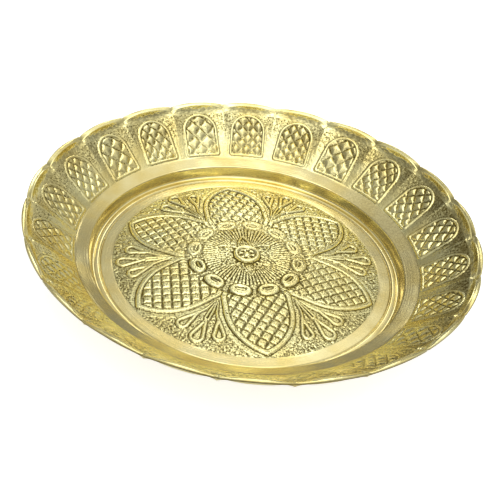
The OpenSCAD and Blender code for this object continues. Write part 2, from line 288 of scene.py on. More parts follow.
def drop(x, y, x0, y0, x1, y1, r0, r1):
    """Distance to a drop with round ends of the radii r0 and r1."""
    ax, ay = x1 - x0, y1 - y0
    h = math.hypot(ax, ay)
    px = ((x - x0) * ax + (y - y0) * ay) / h
    py = np.abs((x - x0) * -ay + (y - y0) * ax) / h
    b = (r0 - r1) / h
    a = math.sqrt(1 - b * b)
    along = a * px - b * py
    return np.where(along < 0, np.hypot(px, py) - r0,
                    np.where(along > a * h, np.hypot(px - h, py) - r1, a * py + b * px - r0))


def segment(x, y, x0, y0, x1, y1):
    """Distance to a straight line between two points."""
    ax, ay = x1 - x0, y1 - y0
    t = np.clip(((x - x0) * ax + (y - y0) * ay) / (ax * ax + ay * ay), 0, 1)
    return np.hypot(x - x0 - t * ax, y - y0 - t * ay)


# Floor. A pair of numbers is the start and the end of a smooth step, and a pair of pairs is a
# span, all in mm. Only the pairs that ridge() takes are half the width and the middle of a ridge.
HALF_PETAL = math.pi / PETALS
OUTER_PART = (31.0, 33.5)  # where the petals and sprigs come up
FLOOR_EDGE = (FLOOR_R, FLOOR_R - 1.8)  # where the lines beside the petals fade
# Petals: width, radius of the tip, length of the pointed end, and what follows from them
PETAL_W, PETAL_TIP, PETAL_POINT = 35.2, 68.8, 27.4
PETAL_ARC = (PETAL_POINT ** 2 + PETAL_W ** 2 / 4) / PETAL_W
PETAL_OFF = PETAL_ARC - PETAL_W / 2
PETAL_SHOULDER = PETAL_TIP - PETAL_POINT
PETAL_GAP = 0.1  # from a petal's side to the line between two petals
LINE_HALF, LINE_H, LINE_CROWN = 1.3, 0.92, 0.06
LINE_RISE = (-0.2, 0.35)
MOAT_D, MOAT = 0.1, ((-1.3, -0.5), (0.2, -0.1))
SECOND_H, SECOND = 0.12, (0.7, -2.4)
CLEAR_OF_PETAL = (-3.4, -2.2)  # where the stipple gives way outside a petal
# Studs in the petals: middle of the lattice, pitch, twist in degrees and its spread
STUDS_AT, STUD_PITCH, STUD_TWIST, STUD_TWIST_SPREAD = 50.8, 4.75, 55.0, 3.0
STUD_GROOVE, STUD_FLAT = 0.065, 0.355  # shares of the pitch: half a groove, half a stud's top
STUD_H, STUD_FOOT, STUD_DISH = 0.95, -0.30, 0.2
STUD_LEAN, STUD_RISE = 0.14, 0.12  # slant of a stud's top, and spread of its height as a share
STUDS_SHOW, STUDS_FULL = (2.45, 2.8), (2.5, 3.2)
BORDER_D, BORDER_TO = 0.28, (2.7, 3.3)  # the groove between the line and the studs
STUD_DIRT, STUD_DIRT_IN = 0.48, (0.45, 0.0)
STUD_KEY = (31, 977)  # gives each row of studs in each petal a number of its own


def crown(r):
    """Height of the floor's upper side at the radius r."""
    return SHEET_T + CROWN_H - CROWN_R + np.sqrt(CROWN_R ** 2 - r ** 2)


class Relief:
    """The floor's ornament over a grid of points: height is above the crowned floor, ground is 1
    on plain stippled ground, and dirt is what lies in the grooves."""

    def __init__(self, r, theta):
        self.r, self.theta = r, theta
        self.height = np.zeros_like(r)
        self.ground = np.ones_like(r)
        self.dirt = np.zeros_like(r)
        self.outer = smooth(*OUTER_PART, r)
        self.petal, phi = fold(theta, 2 * HALF_PETAL, HALF_PETAL)
        self.x, self.y = r * np.cos(phi), r * np.sin(phi)
        self.in_petal = pointed(self.x, self.y, PETAL_SHOULDER, PETAL_OFF, PETAL_ARC)


def add_petals(f):
    """Moat, second line, raised line, and the field of studs in it."""
    between = (f.x * math.tan(HALF_PETAL) - np.abs(f.y)) * math.cos(HALF_PETAL) - PETAL_GAP
    d = np.minimum(f.in_petal, between)
    fade = f.outer * smooth(*FLOOR_EDGE, f.r)
    f.height -= MOAT_D * span(MOAT, f.in_petal) * fade
    f.height += SECOND_H * ridge(f.in_petal, *SECOND) * fade
    line = smooth(*LINE_RISE, d) * smooth(*LINE_RISE, 2 * LINE_HALF - d)
    f.height += (LINE_H * line + LINE_CROWN * ridge(d - LINE_HALF, LINE_HALF)) * f.outer
    f.ground *= 1 - smooth(*CLEAR_OF_PETAL, f.in_petal) * fade
    petal = f.petal % PETALS
    askew = np.radians(STUD_TWIST + STUD_TWIST_SPREAD * cell_random(petal, petal, 7))
    x = f.x - STUDS_AT
    row, fa = cell((x * np.cos(askew) + f.y * np.sin(askew)) / STUD_PITCH + 0.5)
    col, fb = cell((x * np.sin(askew) - f.y * np.cos(askew)) / STUD_PITCH + 0.5)
    who = row * STUD_KEY[0] + f.petal * STUD_KEY[1]
    lean = STUD_LEAN * (cell_random(who, col, 3) * fa + cell_random(who, col, 4) * fb)
    rise = 1 + STUD_RISE * cell_random(who, col, 5)
    top = stud(fa, fb, STUD_GROOVE, STUD_FLAT)
    studs = STUD_FOOT + (STUD_H * rise + lean - STUD_DISH * (fa * fa + fb * fb)) * top
    inside = smooth(*STUDS_SHOW, d)
    border = BORDER_D * (1 - smooth(*BORDER_TO, d)) * inside
    f.height += (studs * smooth(*STUDS_FULL, d) - border) * inside * f.outer
    f.dirt = STUD_DIRT * smooth(*STUD_DIRT_IN, top) * inside * f.outer


# Sprigs: each loop's two ends and their radii, and the ends of each straight bit of stem
SPRIG_LOOPS = [(53.0, 0.0, 64.4, 0.0, 0.8, 3.9), (50.2, 5.3, 59.6, 9.5, 0.8, 3.5)]
SPRIG_STEMS = [(39.0, 0.0, 46.0, 0.75), (46.0, 0.75, 52.8, 0.95),
               (40.5, 0.9, 46.0, 2.6), (46.0, 2.6, 50.6, 5.0)]
SPRIG_H, SPRIG_HOLLOW = 0.85, 0.3
STEM_HALF, STEM_REACH = 0.75, 0.65
BAND, BAND_SHARE, BAND_CROWN = ((0.1, -0.25), (-2.0, -1.6)), 0.85, (0.95, -0.9)
SPRIG_MOAT_D, SPRIG_MOAT = 0.22, ((1.6, 0.7), (-0.2, 0.8))
CLEAR_OF_SPRIG = (1.2, 0.2)
OFF_PETAL, MOAT_OFF_PETAL = (0.6, -0.3), (0.0, -1.0)


def add_sprigs(f):
    """Loops on stems between the petals."""
    psi = fold(f.theta, 2 * HALF_PETAL, 0.0)[1]
    x, y = f.r * np.cos(psi), np.abs(f.r * np.sin(psi))
    loops = np.minimum.reduce([drop(x, y, *loop) for loop in SPRIG_LOOPS])
    stems = np.minimum.reduce([segment(x, y, *stem) for stem in SPRIG_STEMS])
    near = np.minimum(loops, stems - STEM_REACH)
    moat = SPRIG_MOAT_D * span(SPRIG_MOAT, near) * smooth(*MOAT_OFF_PETAL, f.in_petal)
    f.height -= moat * f.outer
    band = BAND_SHARE * span(BAND, loops) + (1 - BAND_SHARE) * ridge(loops, *BAND_CROWN)
    shape = np.maximum(band, ridge(stems, STEM_HALF))
    off_petal = smooth(*OFF_PETAL, f.in_petal)
    sprig = SPRIG_H * shape * off_petal - SPRIG_HOLLOW * (1 - shape) * (near < 0)
    f.height = np.where(f.outer > 0, np.maximum(f.height, sprig), f.height)
    f.ground *= 1 - smooth(*CLEAR_OF_SPRIG, near) * f.outer * off_petal


# Beads: number, radius of their middles, half their depth and width
BEADS, BEADS_AT, BEAD_DEEP, BEAD_WIDE = 12, 27.6, 4.1, 5.9
BEAD_REACH = 4.2  # from a bead's middle to its edge, for its roundings
BEAD_H, BEAD_RISE, BEAD_FALL = 0.85, (0.0, 0.6), 0.10
# The bent slot in a bead and the bar that lies in it
SLOT_AT, SLOT_BEND, SLOT_DEEP, SLOT_WIDE, SLOT_D = -0.5, 0.045, 1.5, 3.0, 0.8
SLOT_IN, BAR_IN, BAR_HALF, BAR_H, SLOT_DIRT = (1.1, 0.8), (0.9, 0.65), 0.42, 0.55, 0.5
BEAD_MOAT_D, BEAD_MOAT = 0.15, ((-1.6, -0.5), (0.3, -0.2))
CLEAR_OF_BEAD = (-1.0, 0.0)


def add_beads(f):
    """Twelve crescent beads round the rays. Leaves the distance inside a bead in f.in_bead."""
    beta = fold(f.theta, 2 * math.pi / BEADS, math.pi / BEADS)[1]
    x, y = f.r * np.cos(beta) - BEADS_AT, f.r * np.sin(beta)
    share = np.hypot(x / BEAD_DEEP, y / BEAD_WIDE)
    f.in_bead = (1 - share) * BEAD_REACH
    across = x - SLOT_AT + SLOT_BEND * y * y
    slot_share = np.hypot(across / SLOT_DEEP, y / SLOT_WIDE)
    slot = smooth(*SLOT_IN, slot_share)
    bar = ridge(across, BAR_HALF) * smooth(*BAR_IN, slot_share)
    left = ease(BEADS_LEFT, BEADS_WORN, to_back(f.theta))
    pad = BEAD_H * smooth(*BEAD_RISE, f.in_bead) * (1 - BEAD_FALL * share ** 2)
    moat = BEAD_MOAT_D * span(BEAD_MOAT, f.in_bead)
    bead = left * (pad - SLOT_D * slot + BAR_H * bar)
    f.height = np.where(f.in_bead > 0, bead, f.height - left * moat)
    f.ground *= 1 - smooth(*CLEAR_OF_BEAD, f.in_bead)
    f.dirt = np.where(f.in_bead > 0, SLOT_DIRT * left * slot * (1 - bar), f.dirt)


# Star of six small petals, and the rays between them and out to the beads
STAR_W, STAR_POINT, STAR_SHOULDER = 7.6, 9.4, 7.2
STAR_ARC = (STAR_POINT ** 2 + STAR_W ** 2 / 4) / STAR_W
STAR_H, STAR_LINE, STAR_HOLLOW = 0.95, (0.72, 0.65), 0.2
STAR_OUT, STAR_FROM = (-0.2, 0.1), (6.6, 7.3)
VEIN_H, VEIN_HALF, VEIN_TO, VEIN_CLEAR = 0.45, 0.55, (14.5, 12.0), 1.4
RAY_STEP = math.radians(5.0)
RAY_H, RAY_HOLLOW, RAY_SIDE = 0.44, 0.16, (0.95, 0.5)
RAYS, OFF_BEAD, OFF_STAR = ((11.0, 13.5), (23.6, 22.4)), (0.0, -0.5), (0.3, -0.6)
RAY_DIRT, RAY_DIRT_IN = 0.40, (0.5, 0.1)
RAY_GROUND, RAY_GROUND_TO = 0.4, (24.0, 22.0)


def add_star(f):
    """Fine rays, and the star over them. Leaves the distance inside the star in f.in_star."""
    f.in_star = pointed(f.x, f.y, STAR_SHOULDER, STAR_ARC - STAR_W / 2, STAR_ARC)
    gamma = fold(f.theta, RAY_STEP, RAY_STEP / 2)[1]
    crest = smooth(*RAY_SIDE, np.abs(f.r * np.sin(gamma)) / (f.r * RAY_STEP / 2))
    rays = span(RAYS, f.r) * smooth(*OFF_BEAD, f.in_bead)
    f.height += (RAY_H * crest - RAY_HOLLOW) * rays * smooth(*OFF_STAR, f.in_star)
    dirt = RAY_DIRT * smooth(*RAY_DIRT_IN, crest) * rays * (f.in_star < 0)
    f.dirt = np.maximum(f.dirt, dirt)
    star = smooth(*STAR_OUT, f.in_star) * smooth(*STAR_FROM, f.r)
    vein = VEIN_H * ridge(f.y, VEIN_HALF) * smooth(*VEIN_TO, f.r) * (f.in_star > VEIN_CLEAR)
    line = STAR_H * ridge(f.in_star, *STAR_LINE)
    shape = ease(STAR_LEFT, STAR_WORN, to_back(f.theta)) * (line - STAR_HOLLOW + vein)
    f.height = np.where(star > 0, star * shape + (1 - star) * f.height, f.height)
    f.ground *= 1 - RAY_GROUND * smooth(*RAY_GROUND_TO, f.r)


# Boss: a raised ring round a rosette of a knob and six pits
BOSS_R, BOSS_BASE_H, BOSS_EDGE, BOSS_BLEND = 7.5, 0.9, (7.3, 6.4), (6.9, 7.5)
BOSS_RING_H, BOSS_RING = 0.9, (1.35, 5.75)
KNOB_R, KNOB_H = 1.5, 0.8
PITS, PITS_AT, PITS_TURN, PIT_R, PIT_D = 6, 2.95, 0.2, 1.1, 0.9
BOSS_MOAT_D, BOSS_MOAT = 0.35, ((7.1, 7.5), (8.9, 8.1))
BOSS_CLEAR = (7.0, 9.0)


def add_boss(f):
    """Boss with its rosette, and the moat round it."""
    x, y = f.r * np.cos(f.theta), f.r * np.sin(f.theta)
    pits = np.zeros_like(f.r)
    for turn in angles(PITS) + PITS_TURN:
        away = np.hypot(x - PITS_AT * math.cos(turn), y - PITS_AT * math.sin(turn))
        pits = np.maximum(pits, ridge(away, PIT_R))
    ring = BOSS_RING_H * ridge(f.r, *BOSS_RING)
    boss = BOSS_BASE_H * smooth(*BOSS_EDGE, f.r) + ring + KNOB_H * ridge(f.r, KNOB_R) - PIT_D * pits
    f.height = np.where(f.r < BOSS_R, np.maximum(boss, f.height * smooth(*BOSS_BLEND, f.r)), f.height)
    f.height -= BOSS_MOAT_D * span(BOSS_MOAT, f.r) * (f.in_star < 0)
    f.ground *= smooth(*BOSS_CLEAR, f.r)


def floor_relief(radii, n):
    """The whole ornament on rings of n points."""
    r, theta = np.meshgrid(radii, angles(n), indexing="ij")
    relief = Relief(r, theta)
    for add in (add_petals, add_sprigs, add_beads, add_star, add_boss):
        add(relief)
    return relief


GRAIN_H = 0.17
GRAIN_EVERYWHERE, GRAIN_IN_RAYS = 0.25, 0.7
GRAIN_EDGE, UNDER_EDGE = (FLOOR_R, FLOOR_R - 0.8), (FLOOR_R, FLOOR_R - 1.0)
HOLLOW_REACH, HOLLOW_DEPTH = 0.7, 0.55  # in mm: how far round a point, and how deep, a hollow is
UNDER_SHARE = 0.4  # of the relief, that shows on the underside
# Dirt in the grooves, and the painted shade that makes it and the ground darker on the near side
DIRT_GAIN, DIRT_AT_BACK_UNSHADED = 1.6, 0.55
GROUND_DULL, GROUND_NEAR_SHADE = 0.03, 0.09
NEAR_SIDE = (0.6, -0.6)
UNDER_DULL, UNDER_DULL_SPAN, UNDER_LIMITS = 0.40, 0.7, (0.1, 0.9)


def floor_top(radii, n):
    """Heights above the crowned floor, and patina with painted shade on the near side, of the upper side."""
    f = floor_relief(radii, n)
    in_rays = smooth(*RAY_GROUND_TO, f.r) * smooth(*BOSS_CLEAR, f.r)
    grain = GRAIN_EVERYWHERE + (1 - GRAIN_EVERYWHERE) * f.ground + GRAIN_IN_RAYS * in_rays
    height = f.height + stipple(on_circle(f.r, f.theta), GRAIN_H, 11) * grain
    height *= smooth(*GRAIN_EDGE, f.r)
    cols = max(1, round(HOLLOW_REACH / (np.mean(radii) * 2 * math.pi / n)))
    rows = max(1, round(HOLLOW_REACH / np.mean(np.diff(radii))))
    # painted shade: dirt and ground darker on the near side
    near = smooth(*NEAR_SIDE, to_back(f.theta))
    dirt = DIRT_GAIN * f.dirt * (DIRT_AT_BACK_UNSHADED + (1 - DIRT_AT_BACK_UNSHADED) * near)
    dark = np.maximum(cavity(height, rows, cols, HOLLOW_DEPTH), dirt)
    return height, dark + (GROUND_DULL + GROUND_NEAR_SHADE * near) * f.ground


def floor_under(radii, n):
    """The same of the underside, where pressing leaves the ornament softer and in reverse."""
    f = floor_relief(radii, n)
    height = blur(f.height, 1, 1) * smooth(*UNDER_EDGE, f.r)
    dark = np.clip(UNDER_DULL - UNDER_DULL_SPAN * height, *UNDER_LIMITS)
    return UNDER_SHARE * height - SHEET_T, dark


def floor_piece(name, top, under, closed):
    """top and under list zones of rings, from the middle outwards and back: first and last
    radius, number of rings, points in each."""
    rings, patina_and_shade = [], []
    for zones, side in ((top, floor_top), (under, floor_under)):
        for r0, r1, count, n in zones:
            radii = np.linspace(r0, r1, count)
            height, dark = side(radii, n)
            for i, r in enumerate(radii):
                rings.append(ring_points(n, r, crown(r) + height[i]))
                patina_and_shade.append(dark[i])
    return ring_mesh(name, rings, patina_and_shade, closed)


# Turned zones: the flat ring, the side and the shoulder
ARC_POINTS = 9  # on a rounded corner
TURNED_POINTS = 720  # round the plate
UNDER_COARSER = 2.5  # rings on the underside lie this many times further apart
GROOVE_R, GROOVE_HALF, GROOVE_D = 76.4, 0.496, 0.45
RING_R = CORNERS[1][0]
STEP_H, STEP = 0.18, ((GROOVE_R + 0.2, GROOVE_R + 1.1), (RING_R - 0.8, RING_R - 2.0))
HAND_SIZE = 11.0  # across the hand-made unevenness
LATHE_H = 0.0025  # depth of the fine lathe lines
END_FADE, FLAT_ENOUGH = 0.8, 0.6
# Patina of the turned zones: plain, in the groove and the depth where that starts, and where the painted
# shade on the right side grows
TURNED_DULL, GROOVE_DULL, GROOVE_DEEP, RIGHT_SHADE_FROM = 0.25, 0.5, -0.1, (0.2, 0.95)
UNDERSIDE_DULL = 0.3


def rounded_profile(corners, fillets):
    """Points along a polyline whose inner corners have the given radii."""
    points = [corners[0]]
    for a, b, c, radius in zip(corners, corners[1:], corners[2:], fillets):
        u, v = (a - b) / np.linalg.norm(a - b), (c - b) / np.linalg.norm(c - b)
        half = math.acos(u @ v) / 2
        reach = radius / math.tan(half)
        centre = b + (u + v) / np.linalg.norm(u + v) * radius / math.sin(half)
        start, end = b + u * reach - centre, b + v * reach - centre
        first, last = math.atan2(start[1], start[0]), math.atan2(end[1], end[0])
        turn = (last - first + math.pi) % (2 * math.pi) - math.pi
        for w in first + turn * np.linspace(0, 1, ARC_POINTS):
            points.append(centre + radius * np.array([math.cos(w), math.sin(w)]))
    points.append(corners[-1])
    return np.array(points)


def resample(line, step):
    """The same line with points about step apart."""
    gaps = np.linalg.norm(np.diff(line, axis=0), axis=1)
    s = np.concatenate([[0], np.cumsum(gaps)])
    n = max(2, int(round(s[-1] / step)) + 1)
    at = np.linspace(0, s[-1], n)
    return np.stack([np.interp(at, s, line[:, 0]), np.interp(at, s, line[:, 1])], 1)


def cut_line(line, r0, r1):
    """The part of a profile between two radii."""
    inside = line[(line[:, 0] > r0) & (line[:, 0] < r1)]
    ends = [[r, np.interp(r, line[:, 0], line[:, 1])] for r in (r0, r1)]
    return np.vstack([ends[:1], inside, ends[1:]])


def normals_up(line):
    """Unit normals on the upper side of a profile."""
    d = np.gradient(line, axis=0)
    d /= np.linalg.norm(d, axis=1)[:, None]
    return np.stack([-d[:, 1], d[:, 0]], 1)


PROFILE = rounded_profile(CORNERS, FILLETS)
RING_OUT, SIDE_OUT, SHOULDER_OUT = RING_R + 0.25, CORNERS[2][0] + 0.2, CORNERS[3][0]


def groove_lift(r):
    """The groove in the flat ring, and the low step outside it."""
    return STEP_H * span(STEP, r) - GROOVE_D * ridge(r, GROOVE_HALF, GROOVE_R)


def turned_piece(name, r0, r1, step, wave, groove, right_shade):
    """Zone of the sheet between two radii, turned about Z. wave is the height of its hand-made unevenness,
    and right_shade is the painted shade on its right side."""
    n = TURNED_POINTS
    theta = angles(n)
    line = resample(cut_line(PROFILE, r0, r1), step)
    cuts = np.random.default_rng(61).normal(0, LATHE_H, len(line))
    rings, patina_and_shade = [], []
    for (r, z), (nr, nz), cut in zip(line, normals_up(line), cuts):
        lift = wave * noise(on_circle(r, theta, z), HAND_SIZE, 21) + cut
        if groove:
            lift = lift + groove_lift(r)
        # flat stretches meet their neighbours at the same height
        to_end = min(abs(r - r0), abs(r - r1)) / END_FADE
        share = min(1.0, to_end) if abs(nz) > FLAT_ENOUGH else 1.0
        rings.append(ring_points(n, r + nr * lift * share, z + nz * lift * share))
        # patina of the turned zone, with painted shade on the right side
        patina_and_shade.append(TURNED_DULL + GROOVE_DULL * (lift < GROOVE_DEEP)
                      + right_shade * smooth(*RIGHT_SHADE_FROM, to_right(theta)))
    low = resample(cut_line(PROFILE, r0, r1), step * UNDER_COARSER)
    for (r, z), (nr, nz) in zip(low[::-1], normals_up(low)[::-1]):
        rings.append(ring_points(n, r - nr * SHEET_T, z - nz * SHEET_T))
        patina_and_shade.append(np.full(n, UNDERSIDE_DULL))
    return ring_mesh(name, rings, patina_and_shade, True)


# Wall. u runs up its slope and v across an arch, in mm.
WALL_FROM, WALL_TO = CORNERS[3], CORNERS[4]
WALL_L = float(np.linalg.norm(WALL_TO - WALL_FROM))
WALL_DIR = (WALL_TO - WALL_FROM) / WALL_L
WALL_UP = np.array([-WALL_DIR[1], WALL_DIR[0]])
WALL_POINTS = LOBES * 64
WALL_ROWS, WALL_ROWS_UNDER = 58, 20
RIB_H, RIB_POWER = 1.2, 3.0  # rise of the ribs at the notches, and how sharp they are
RIB_UP = (0.05 * WALL_L, 0.95 * WALL_L)
# Arches: half their width, gaps below and above, rounding of the lower corners
ARCH_HALF, ARCH_FOOT, ARCH_TOP, ARCH_ROUND = 10.2, 0.6, 0.2, 2.0
ARCH_LINE_H, ARCH_LINE = 0.52, (0.8, 0.7)
ARCH_MOAT_D, ARCH_MOAT = 0.12, ((-1.6, -0.6), (0.2, -0.2))
OFF_ARCH = (-0.4, -1.6)
# Diamonds in the arches: size, spread of the size, and what the coarser lots have more
DIAMOND_W, DIAMOND_L = 6.2, 7.4
DIAMOND_W_SPREAD, DIAMOND_L_SPREAD = 0.5, 0.6
COARSE_LOTS, COARSE_W, COARSE_L = (3, 6, 8, 14, 19), 2.0, 1.2
LATTICE_SHIFT, LATTICE_WARP, WARP_SIZE = 0.9, 0.55, 6.5
DIAMOND_H, DIAMOND_FOOT, DIAMOND_RISE, DIAMOND_LEAN = 1.15, -0.45, 0.2, 0.5
DIAMOND_PEAK = 0.17  # share of a cell by which the peak lies off its middle
DIAMOND_SHAPE, DIAMOND_CUT = 2.2, 1.06
DIAMONDS_FROM, DIAMONDS_FULL = 1.1, (1.3, 2.2)
ARCH_BORDER_D, ARCH_BORDER = 0.1, ((1.1, 1.5), (2.4, 1.6))
STEEP, STEEP_FROM = (0.25, 0.75), (1.3, 2.0)
DIAMOND_KEY = (37, 1013)  # gives each row of diamonds in each arch a number of its own


def lobes(theta):
    """Number of the lobe, the angle from its middle, and the share of the way to its notch."""
    lobe, phi = fold(theta, LOBE_STEP, 0.0)
    return lobe % LOBES, phi, np.abs(phi) / (LOBE_STEP / 2)


def rib(t):
    """Rise of the wall towards a notch, at the share t of the way there from a lobe's middle."""
    return RIB_H * t ** RIB_POWER


def in_arch(u, v):
    """Distance inside an arch with a round top and rounded lower corners."""
    spring = WALL_L - ARCH_TOP - ARCH_HALF
    d = ARCH_HALF - np.where(u > spring, np.hypot(u - spring, v), np.abs(v))
    side, foot = np.abs(v) - ARCH_HALF + ARCH_ROUND, ARCH_FOOT + ARCH_ROUND - u
    corner = ARCH_ROUND - np.hypot(np.maximum(side, 0), np.maximum(foot, 0))
    return np.minimum(d, np.where((foot > 0) & (side > 0), corner, u - ARCH_FOOT))


def lopsided(f, peak):
    """Share of the way from the peak to the cell's edge, for a peak that lies off the middle."""
    return np.where(f < peak, (peak - f) / (0.5 + peak), (f - peak) / (0.5 - peak))


def wall_relief(u, theta):
    """Height off the wall, the mask of the stippled ground, and of the diamonds' steep sides."""
    lot, phi, t = lobes(theta)
    r = WALL_FROM[0] + u * WALL_DIR[0]
    v = r * np.sin(phi)
    d = in_arch(u, v)
    height = ARCH_LINE_H * ridge(d, *ARCH_LINE)
    height -= ARCH_MOAT_D * span(ARCH_MOAT, d)
    coarse = np.isin(lot, COARSE_LOTS)
    wide = DIAMOND_W + DIAMOND_W_SPREAD * cell_random(lot, lot, 31) + COARSE_W * coarse
    tall = DIAMOND_L + DIAMOND_L_SPREAD * cell_random(lot, lot + 1, 32) + COARSE_L * coarse
    at = on_circle(r, theta)
    up = u + LATTICE_SHIFT * cell_random(lot, lot + 2, 33) + LATTICE_WARP * noise(at, WARP_SIZE, 37)
    over = v + LATTICE_WARP * noise(at, WARP_SIZE, 38)
    row, fa = cell(up / tall + over / wide)
    col, fb = cell(up / tall - over / wide)
    who = row * DIAMOND_KEY[0] + lot * DIAMOND_KEY[1]
    rise = 1 + DIAMOND_RISE * cell_random(who, col, 34)
    lean = DIAMOND_LEAN * (cell_random(who, col, 35) * fa + cell_random(who, col, 36) * fb)
    away = np.maximum(lopsided(fa, DIAMOND_PEAK), lopsided(fb, DIAMOND_PEAK))
    shape = np.clip(DIAMOND_CUT - away ** DIAMOND_SHAPE, 0, 1)
    diamonds = (DIAMOND_FOOT + (DIAMOND_H * rise + lean) * shape) * smooth(*DIAMONDS_FULL, d)
    height += np.where(d > DIAMONDS_FROM, diamonds - ARCH_BORDER_D * span(ARCH_BORDER, d), 0)
    left = arch_left(theta)
    high = np.maximum(fa, fb)
    steep = left * smooth(*STEEP, high) * (high > np.maximum(-fa, -fb)) * smooth(*STEEP_FROM, d)
    height = height * left + rib(t) * smooth(*RIB_UP, u)
    return height, smooth(*OFF_ARCH, d), steep


WALL_GRAIN_H, WALL_GRAIN_IN_ARCH, WALL_GRAIN_LOW = 0.11, 0.3, 0.35
WALL_FOOT_FADE, WALL_TOP_FADE = 0.6, 0.5
WALL_HOLLOW_DEPTH = 0.75
OUTSIDE_SHARE, OUTSIDE_FADE = 0.45, 1.5  # of the relief on the outside, and its fade at the ends
COARSE_GRAIN_UP = (0.1 * WALL_L, 0.7 * WALL_L)
# Patina in the hollows, with painted light and shade: lighter at the foot, darker towards the top, on the
# front and right of the upper half, on the diamonds' upper sides, and on the shaded side
FOOT_PAINTED_LIGHT, FOOT = 0.25, (0.7 * WALL_L, 0.1 * WALL_L)
TOP_PAINTED_SHADE, TOP = 0.14, (0.35 * WALL_L, 0.85 * WALL_L)
UPPER_HALF_SHADE, UPPER_HALF = 0.10, (0.5 * WALL_L, WALL_L)
STEEP_PAINTED_SHADE, STEEP_LEAST = 0.45, 0.3
SHADE, SHADED, SHADE_IN_ARCH = 0.06, (0.5, 1.0), 0.4


def wall_inside(rows, n):
    """How far up each row is, its heights off the wall, and its patina with painted light and shade."""
    u, theta = np.meshgrid(np.linspace(0, WALL_L, rows), angles(n), indexing="ij")
    height, ground, steep = wall_relief(u, theta)
    at = on_circle(WALL_FROM[0] + u * WALL_DIR[0], theta, WALL_FROM[1] + u * WALL_DIR[1])
    grain = WALL_GRAIN_IN_ARCH + (1 - WALL_GRAIN_IN_ARCH) * ground
    grain *= ease(WALL_GRAIN_LOW, COARSE_GRAIN_UP, u)
    height = height + stipple(at, WALL_GRAIN_H, 41) * grain
    base = rib(lobes(theta)[2])
    height = base + (height - base) * smooth(WALL_L, WALL_L - WALL_TOP_FADE, u)
    height *= smooth(0, WALL_FOOT_FADE, u)
    dark = cavity(height, 2, 2, WALL_HOLLOW_DEPTH)
    # painted light at the foot; painted shade towards the top, on the front and right of the upper half, on
    # the diamonds' upper sides and on the shaded side
    dark -= FOOT_PAINTED_LIGHT * smooth(*FOOT, u)
    dark += TOP_PAINTED_SHADE * ground * smooth(*TOP, u) * shade_weight(theta)
    dark += UPPER_HALF_SHADE * smooth(*UPPER_HALF, u) * top_shade(theta)
    dark += STEEP_PAINTED_SHADE * steep * (STEEP_LEAST + (1 - STEEP_LEAST) * shade_weight(theta))
    shade = SHADE * smooth(*SHADED, np.cos(theta - SHADE_SIDE))
    dark += shade * (SHADE_IN_ARCH + (1 - SHADE_IN_ARCH) * ground)
    return u[:, 0], height, dark


def wall_outside(rows, n):
    """The same from the top down, with less of the relief."""
    u, theta = np.meshgrid(np.linspace(WALL_L, 0, rows), angles(n), indexing="ij")
    base = rib(lobes(theta)[2]) * smooth(*RIB_UP, u)
    relief = (wall_relief(u, theta)[0] - base) * smooth(WALL_L, WALL_L - OUTSIDE_FADE, u)
    height = (base + OUTSIDE_SHARE * relief) * smooth(0, OUTSIDE_FADE, u)
    dark = np.clip(0.5 + 0.5 * (height - base), 0, 1)
    return u[:, 0], height, dark


def wall_piece(name):
    """The flared wall, with its arches, ribs and stippled ground."""
    rings, patina_and_shade = [], []
    for n, depth, (rows, heights, dark) in (
            (WALL_POINTS, 0.0, wall_inside(WALL_ROWS, WALL_POINTS)),
            (WALL_POINTS // 2, SHEET_T, wall_outside(WALL_ROWS_UNDER, WALL_POINTS // 2))):
        for u, height, value in zip(rows, heights, dark):
            at = WALL_FROM + u * WALL_DIR
            off = height - depth
            rings.append(ring_points(n, at[0] + WALL_UP[0] * off, at[1] + WALL_UP[1] * off))
            patina_and_shade.append(value)
    return ring_mesh(name, rings, patina_and_shade, True)


# Rim. Each lobe is an arc round its own centre, and the lip follows another arc up and down.
LOBE_R, LOBE_AT, WAVE_R = 75.96, 39.0, 121.0
NOTCH_ROUND, NOTCH_FROM = 0.35, 0.93
RIM_Z = 32.9
LIP_T = 1.4
LIP_IN, LIP_SLOPE = 112.1, 0.2126  # inner edge of the lip, and its rise outwards
LIP_IN_OUT, LIP_IN_BACK = 0.2, 0.4  # that edge lies further out in a lobe, further in at a notch
CREASE_DIP = 1.6  # how far the lip's inner edge dips at a notch
SINK_IN, SINK_OUT = 0.1, 0.05  # how far the metal stays under the rim's height
EDGE_ROUND, UNDER_ROUND = 0.45, 0.4  # of the lip's outer edge
INNER_ROUND_R, INNER_ROUND_Z = 0.4, 0.3
LIP_SWELL = 0.12
# The lip's hand-made unevenness: height, size and seed, taken at one radius
LIP_HAND, LIP_HAND_R = ((0.07, 9.0, 51), (0.03, 3.5, 52)), 110.0
COLLAR_ROWS, COLLAR_GRAIN_H, COLLAR_H = 15, 0.13, 6.0
COLLAR_ENDS = 6  # the grain fades over a sixth of the collar at each end
COLLAR_BULGE, BULGE_OUT, BULGE_DOWN = 0.5, 0.9, 0.3
UNDER_LIP = 1.1  # from the lip's inner edge to where its underside ends
# Patina of the collar: plain, painted shade where the top is shaded, painted shade on one side and in the
# crescent under each lobe, and what its grain loses of it
COLLAR_PLAIN, COLLAR_TOP_SHADE, COLLAR_SIDE_SHADE, LOBE_CRESCENT_SHADE, GRAIN_CLEAN = 0.24, 0.16, 0.04, 0.28, 2.0
# Patina of the lip, and the painted shade that its right side has more of, in patches that change with the
# unevenness
LIP_DULL, LIP_RIGHT_SHADE, LIP_RIGHT_SHADE_FROM, LIP_SHADE_SPOTS = 0.34, 0.5, (0.3, 0.8), (0.6, 4.0, 0.02)
# Patina of the lip's edges, painted shade that grows on its outer edge, painted shade on its face and
# underside, and patina of the collar's outside
EDGE_DULL, OUTER_EDGE_SHADE, FACE_SHADE, UNDER_LIP_SHADE, UNDER_COLLAR_DULL = 0.2, 0.6, 1.2, 0.4, 0.35
